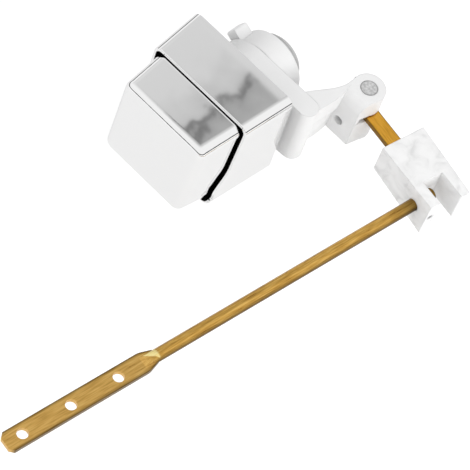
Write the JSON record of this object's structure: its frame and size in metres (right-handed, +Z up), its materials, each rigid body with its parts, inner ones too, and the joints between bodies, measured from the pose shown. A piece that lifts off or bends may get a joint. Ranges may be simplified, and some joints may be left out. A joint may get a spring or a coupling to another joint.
{
  "type": "cistern lever",
  "caption": "Push-button cistern lever: chromed block with a hinged button, white threaded shank, nut and bracket, and a pivoting brass rod with a drilled flat end.",
  "frame": {"origin": "On the shank's axis, in the plane of the housing's back face, where it meets the cistern wall.", "axes": "+Y along the shank into the cistern, +Z up as in the picture, +X to the right seen from outside."},
  "size_m": [0.144, 0.2541, 0.057],
  "materials": {
    "chrome": "polished",
    "white_plastic": "satin moulded",
    "white_washer": "soft matt",
    "block_plastic": "mottled",
    "dark_plastic": "matt moulded",
    "grey_plastic": "satin",
    "steel": "plain",
    "black_rubber": "matt",
    "brass": "drawn"
  },
  "bodies": {
    "housing": {"housing_shell": "chrome", "inner_frame": "dark_plastic", "frame_screws": "steel", "hinge_pin": "steel", "threaded_shank": "white_plastic", "plunger_bush": "dark_plastic", "return_spring": "steel", "wall_gasket": "white_washer", "bracket": "white_plastic", "nut_washer": "white_plastic", "lock_nut": "white_plastic", "pivot_pin": "grey_plastic", "pivot_pin_clip": "steel"},
    "button": {"button_cap": "chrome", "button_plate": "dark_plastic", "button_screws": "steel", "pusher_pad": "black_rubber"},
    "plunger": {"plunger": "white_plastic"},
    "lever": {"lever_strip": "brass", "upper_spacer": "white_plastic", "lower_spacer": "white_plastic", "rod_block": "block_plastic", "strip_screws": "steel", "rod_set_screw": "steel", "trip_rod": "brass"}
  },
  "joints": [
    {"name": "button_press", "type": "hinge", "parent": "housing", "child": "button", "pos_m": [0, -0.036, -0.0205], "axis": [-1, 0, 0], "range_deg": [0, 5.5], "stiffness_Nm_per_rad": 2, "springref_deg": -5.73},
    {"name": "plunger_push", "type": "slide", "parent": "housing", "child": "plunger", "axis": [0, 1, 0], "range_m": [0, 0.0037], "deforming": ["return_spring"]},
    {"name": "lever_swing", "type": "hinge", "parent": "housing", "child": "lever", "pos_m": [0.045, 0.041, 0], "axis": [0, 0, 1], "range_deg": [-8, 176]}
  ],
  "couplings": [
    {"joint": "plunger_push", "follows": "button_press", "m_per_rad": 0.038}
  ]
}
